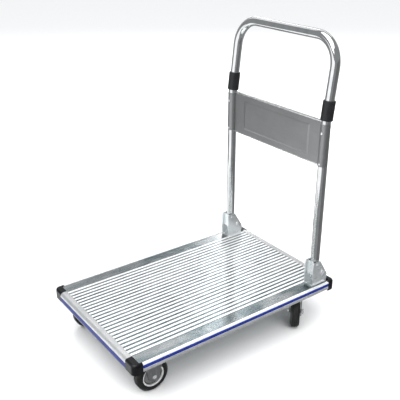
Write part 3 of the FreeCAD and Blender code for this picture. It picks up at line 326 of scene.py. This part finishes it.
def tyre_finish(name, centre, turn):
    """Black rubber: glossier sidewall rings, a greyer rubbed tread."""
    skin = Finish(name, (0.018, 0.018, 0.018), roughness=0.5)
    where = skin.place(centre, turn)
    reach = skin.distance_from_axle(where)
    dust = skin.noise(where, 90, 4, 0.65, 0.4)
    tread = skin.levels(reach, 0.0488, 0.0498, smooth=True)
    side = skin.ramp(dust, (0.4, (0.004, 0.004, 0.004)), (0.8, (0.014, 0.014, 0.014)))
    rubbed = skin.ramp(dust, (0.35, (0.008, 0.008, 0.008)), (0.75, (0.026, 0.026, 0.025)))
    skin.colour(skin.mix(tread, side, rubbed))
    skin.roughness(skin.maths("ADD", skin.levels(dust, 0.3, 0.75, 0.34, 0.52),
                              skin.levels(tread, 0, 1, 0.0, 0.16)))
    skin.bump(skin.noise(where, 1100, 3), 0.22, 0.00012)
    return skin.material


def hub_finish(name, centre, turn):
    """Grey moulded disc, a near-black band of painted shadow for the gap round it, and a bright pressed
    ring outside that.
    """
    skin = Finish(name, grey(0.25), metallic=0.5, roughness=0.38)
    where = skin.place(centre, turn)
    reach = skin.distance_from_axle(where)
    mottle = skin.noise(where, 120, 4, 0.6, 0.3)
    disc = skin.ramp(mottle, (0.35, grey(0.17, 0.03)), (0.7, grey(0.24, 0.02)))
    ring = skin.levels(reach, 0.0290, 0.0294)
    # Painted shadow: a near-black band between the disc and the ring stands in for the shade in the gap
    # there.
    painted_gap_shadow = skin.maths("MULTIPLY", skin.levels(reach, 0.0268, 0.0272),
                        skin.levels(reach, 0.0294, 0.0290))
    ringed = skin.mix(ring, disc, grey(0.95))
    skin.colour(skin.mix(painted_gap_shadow, ringed, (0.006, 0.006, 0.006)))
    skin.links.new(skin.levels(ring, 0, 1, 0.35, 0.5), skin.shader.inputs["Metallic"])
    skin.roughness(skin.mix(ring, skin.levels(mottle, 0.3, 0.7, 0.34, 0.44), (0.22, 0.22, 0.22)))
    skin.bump(skin.noise(where, 800, 3), 0.10, 0.00008)
    return skin.material


def bush_finish():
    """Oiled turned steel."""
    skin = Finish("oiled_steel", grey(0.45), metallic=1.0, roughness=0.3)
    oil = skin.noise(skin.place(), 200, 4, 0.6)
    skin.colour(skin.ramp(oil, (0.35, (0.20, 0.18, 0.15)), (0.7, (0.50, 0.49, 0.47))))
    skin.roughness(skin.levels(oil, 0.3, 0.7, 0.2, 0.45))
    return skin.material


def cover(material, *names):
    """The material goes on every slot of these CAD nodes."""
    for name in names:
        for index in range(len(nodes[name].data.materials)):
            nodes[name].data.materials[index] = material


zinc_bright = galvanised_finish("zinc_sheet_bright", 1.16, 0.85)
zinc = galvanised_finish("zinc_sheet")
satin = fork_finish()
fastener = fastener_finish()
chrome = chrome_finish()
# The hems' bright tone is a painted highlight along the panel's folded edges.
painted_highlight_hem = painted_highlight_hem_finish()
cover(deck_finish(), "deck_panel")
cover(rail_finish("end_rail_aluminium", (0.02, 1, 1), 0.75,
                  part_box("bumper_strip_front")[0].z, 0.76), "end_rail_front", "end_rail_rear")
cover(rail_finish("side_rail_aluminium", (1, 0.02, 1), 0.3,
                  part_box("bumper_strip_left")[0].z), "side_rail_left", "side_rail_right")
cover(strip_finish(), *("bumper_strip_" + side for side in ("front", "rear", "left", "right")))
cover(cap_finish(), *("corner_cap_" + wheel for wheel in WHEELS))
cover(zinc, "cross_member_front", "cross_member_middle", "cross_member_rear")
cover(fastener, "bracket_rivets", "pivot_pins", "rigid_axle_bolts", "rigid_axle_nuts", "caster_bolts",
      "caster_nuts", "kingpins", "race_balls", "panel_rivets", "clevis_rivets")
cover(chrome, "handle_bow")
cover(sleeve_finish(), "joint_sleeve_left", "joint_sleeve_right")
cover(panel_finish(), "back_panel")
for side in SIDES:
    cover(zinc_bright, "hinge_bracket_" + side, "hinge_clevis_" + side)
    cover(satin, "rigid_fork_" + side, "swivel_fork_" + side)
    cover(zinc, "swivel_plate_" + side)
    cover(fastener, "joint_plug_" + side, "swivel_axle_bolt_" + side, "swivel_axle_nut_" + side)
    cover(chrome, "handle_leg_" + side)
for wheel in WHEELS:
    hub_centre = middle(wheel + "_hub")
    wheel_turn = SWIVEL_TURN if wheel.startswith("rear") else 0.0
    cover(tyre_finish(wheel + "_rubber", hub_centre, wheel_turn), wheel + "_tyre")
    cover(hub_finish(wheel + "_disc", hub_centre, wheel_turn), wheel + "_hub")
oiled = bush_finish()
cover(oiled, *(wheel + "_bush" for wheel in WHEELS))


# ---------------------------------------------------------------- detail pieces

def piece(name, shape, material, body):
    """Makes the finished shape an object that rides on a CAD body."""
    bmesh.ops.recalc_face_normals(shape, faces=shape.faces)
    for face in shape.faces:
        face.smooth = True
    mesh = bpy.data.meshes.new(name)
    shape.to_mesh(mesh)
    shape.free()
    mesh.set_sharp_from_angle(angle=SHARP_ANGLE)
    mesh.materials.append(material)
    made = bpy.data.objects.new(name, mesh)
    bpy.context.scene.collection.objects.link(made)
    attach(made, body)
    return made


def bead(length, radius, turn, centre):
    """A round bar with softened ends, lying along X before its turn."""
    shape = bmesh.new()
    bmesh.ops.create_cone(shape, cap_ends=True, segments=20, radius1=radius, radius2=radius, depth=length)
    rims = [edge for edge in shape.edges if len({round(v.co.z, 6) for v in edge.verts}) == 1]
    bmesh.ops.bevel(shape, geom=rims, offset=radius * 0.5, segments=3, affect="EDGES",
                    profile=0.5, material=-1)
    bmesh.ops.transform(shape, matrix=Matrix.Translation(centre) @ turn, verts=shape.verts)
    return shape


def washer(centre, inner, outer, thickness):
    """A flat ring about an axle along X, spun from its square section."""
    shape = bmesh.new()
    bmesh.ops.create_circle(shape, cap_ends=False, segments=4, radius=0.5,
                            matrix=Matrix.Rotation(math.pi / 4, 4, "Z"))
    flat = Matrix.Diagonal((math.sqrt(2) * (outer - inner), math.sqrt(2) * thickness, 1, 1))
    stand = Matrix.Translation(((inner + outer) / 2, 0, 0)) @ flat
    bmesh.ops.transform(shape, matrix=stand, verts=shape.verts)
    bmesh.ops.spin(shape, geom=shape.verts[:] + shape.edges[:], cent=(0, 0, 0), axis=(0, 1, 0),
                   angle=math.tau, steps=40, use_merge=True)
    bmesh.ops.remove_doubles(shape, verts=shape.verts, dist=1e-6)
    about_x = Matrix.Rotation(math.pi / 2, 4, "Z")
    bmesh.ops.transform(shape, matrix=Matrix.Translation(centre) @ about_x, verts=shape.verts)
    return shape


panel_low, panel_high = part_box("back_panel")
panel_face = middle("clevis_rivets").y - PANEL_SHEET_HALF
hem_line = panel_face + HEM_RADIUS * HEM_SUNK_SHARE
along_x = Matrix.Rotation(math.pi / 2, 4, "Y")
for name, height in (("top", panel_high.z - HEM_RADIUS), ("bottom", panel_low.z + HEM_RADIUS)):
    piece("panel_hem_" + name, bead(PANEL_WEB_LENGTH, HEM_RADIUS, along_x, (0, hem_line, height)),
          painted_highlight_hem, "handle")

pin_low, pin_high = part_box("pivot_pins")
pin_line = middle("pivot_pins")
from_head = PIN_HEAD_HEIGHT - WASHER_THICKNESS / 2
for side, outside in (("left", pin_low.x + from_head), ("right", pin_high.x - from_head)):
    ring = washer((outside, pin_line.y, pin_line.z), WASHER_INNER, WASHER_OUTER, WASHER_THICKNESS)
    piece("pivot_washer_" + side, ring, fastener, "platform")


# ---------------------------------------------------------------- studio and camera

def card(name, centre, width, height, face_to, material, seen=True):
    """A flat card standing at centre, its face turned towards a point."""
    mesh = bpy.data.meshes.new(name)
    shape = bmesh.new()
    bmesh.ops.create_grid(shape, x_segments=1, y_segments=1, size=0.5)
    bmesh.ops.scale(shape, vec=(width, height, 1), verts=shape.verts)
    aim = (Vector(face_to) - Vector(centre)).to_track_quat("Z", "Y").to_matrix().to_4x4()
    bmesh.ops.transform(shape, matrix=Matrix.Translation(centre) @ aim, verts=shape.verts)
    shape.to_mesh(mesh)
    shape.free()
    made = bpy.data.objects.new(name, mesh)
    bpy.context.scene.collection.objects.link(made)
    mesh.materials.append(material)
    made.visible_camera = seen
    return made


def shown_card(name, azimuth, elevation, reach, width, height, tone):
    """A lit card that only polished surfaces see, as a studio bank would show in them."""
    glow = Finish(name, (0, 0, 0), roughness=1.0, Emission_Color=(0.97, 0.985, 1.0, 1),
                  Emission_Strength=tone)
    made = card(name, around(azimuth, elevation, reach), width, height, HEART, glow.material, seen=False)
    made.visible_diffuse = made.visible_shadow = made.visible_transmission = False
    return made


def pale_backdrop(radius, tone):
    """A plain pale shell round the studio, which lights nothing and shows in no reflection."""
    shape = bmesh.new()
    bmesh.ops.create_uvsphere(shape, u_segments=48, v_segments=24, radius=radius)
    bmesh.ops.reverse_faces(shape, faces=shape.faces)
    mesh = bpy.data.meshes.new("backdrop")
    shape.to_mesh(mesh)
    shape.free()
    glow = Finish("pale_backdrop", (0, 0, 0), roughness=1.0, Emission_Color=(1, 1, 1, 1),
                  Emission_Strength=tone)
    mesh.materials.append(glow.material)
    shell = bpy.data.objects.new("backdrop", mesh)
    bpy.context.scene.collection.objects.link(shell)
    shell.visible_diffuse = shell.visible_glossy = shell.visible_shadow = False
    shell.visible_transmission = False


def soft_light(name, place, aim, width, height, power):
    """A rectangular lamp, never seen by the camera."""
    light = bpy.data.lights.new(name, "AREA")
    light.shape = "RECTANGLE"
    light.size = width
    light.size_y = height
    light.energy = power
    lamp = bpy.data.objects.new(name, light)
    bpy.context.scene.collection.objects.link(lamp)
    lamp.location = place
    lamp.visible_camera = False
    lamp.rotation_euler = (Vector(place) - Vector(aim)).to_track_quat("Z", "Y").to_euler()
    return lamp


def around(azimuth, elevation, reach, target=Vector((0, 0, 0.35))):
    """A place seen from the target at this azimuth (0 is the front, 90 the right) and elevation."""
    turn, lift = math.radians(azimuth), math.radians(elevation)
    return target + reach * Vector((math.sin(turn) * math.cos(lift), -math.cos(turn) * math.cos(lift),
                                    math.sin(lift)))


CAMERA_AZIMUTH = 53.97
CAMERA_ELEVATION = 24.39
CAMERA_PLACE = (1.4282, -1.0236, 1.2245)
CAMERA_LENS = 58.75
CAMERA_SENSOR = 36
HEART = Vector((0, 0, 0.35))
BEHIND = CAMERA_AZIMUTH + 180

pale = Finish("pale_floor", (0.97, 0.97, 0.97), roughness=0.9)
floor = card("floor", (0, 0, 0), 60, 60, (0, 0, 1), pale.material)
floor.visible_glossy = False
pale_backdrop(26, 0.94)
shown_card("white_bank_left", CAMERA_AZIMUTH - 57, -2, 3.2, 4.8, 2.8, 1.25)
shown_card("white_low_left", CAMERA_AZIMUTH - 108, -37, 1.57, 1.8, 1.0, 1.25)
shown_card("grey_bank_right", CAMERA_AZIMUTH + 62, -8, 3.2, 4.4, 3.0, 0.17)
shown_card("white_bank_high", BEHIND, 46, 4.9, 6.5, 2.6, 1.0)
shown_card("grey_bank_behind", BEHIND, 14, 3.7, 6.0, 2.6, 0.40)
shown_card("strip_behind", BEHIND - 4.5, 28, 3.2, 0.15, 3.0, 4.6)
soft_light("key", around(CAMERA_AZIMUTH - 40, 48, 3.6), HEART, 1.6, 1.6, 26)
for name, azimuth in (("fill_front", CAMERA_AZIMUTH + 30), ("fill_rear", BEHIND)):
    soft_light(name, around(azimuth, 40, 4.0), HEART, 3.0, 3.0, 95).visible_glossy = False
sky = bpy.data.lights.new("overhead_soft", "SUN")
sky.energy = 2.2
sky.angle = math.radians(60)
overhead = bpy.data.objects.new("overhead_soft", sky)
bpy.context.scene.collection.objects.link(overhead)
overhead.rotation_euler = (around(CAMERA_AZIMUTH - 50, 70, 1) - HEART).to_track_quat("Z", "Y").to_euler()

world = bpy.data.worlds.new("studio_grey")
bpy.context.scene.world = world
world.use_nodes = True
surround = world.node_tree.nodes["Background"]
surround.inputs["Color"].default_value = (0.93, 0.97, 1.0, 1)
surround.inputs["Strength"].default_value = 0.30
bpy.context.scene.view_settings.view_transform = "Standard"

camera = bpy.data.objects.new("camera", bpy.data.cameras.new("camera"))
bpy.context.scene.collection.objects.link(camera)
camera.location = CAMERA_PLACE
camera.rotation_euler = (math.radians(90 - CAMERA_ELEVATION), 0, math.radians(CAMERA_AZIMUTH))
camera.data.lens = CAMERA_LENS
camera.data.sensor_width = CAMERA_SENSOR
bpy.context.scene.camera = camera

bpy.context.view_layer.update()
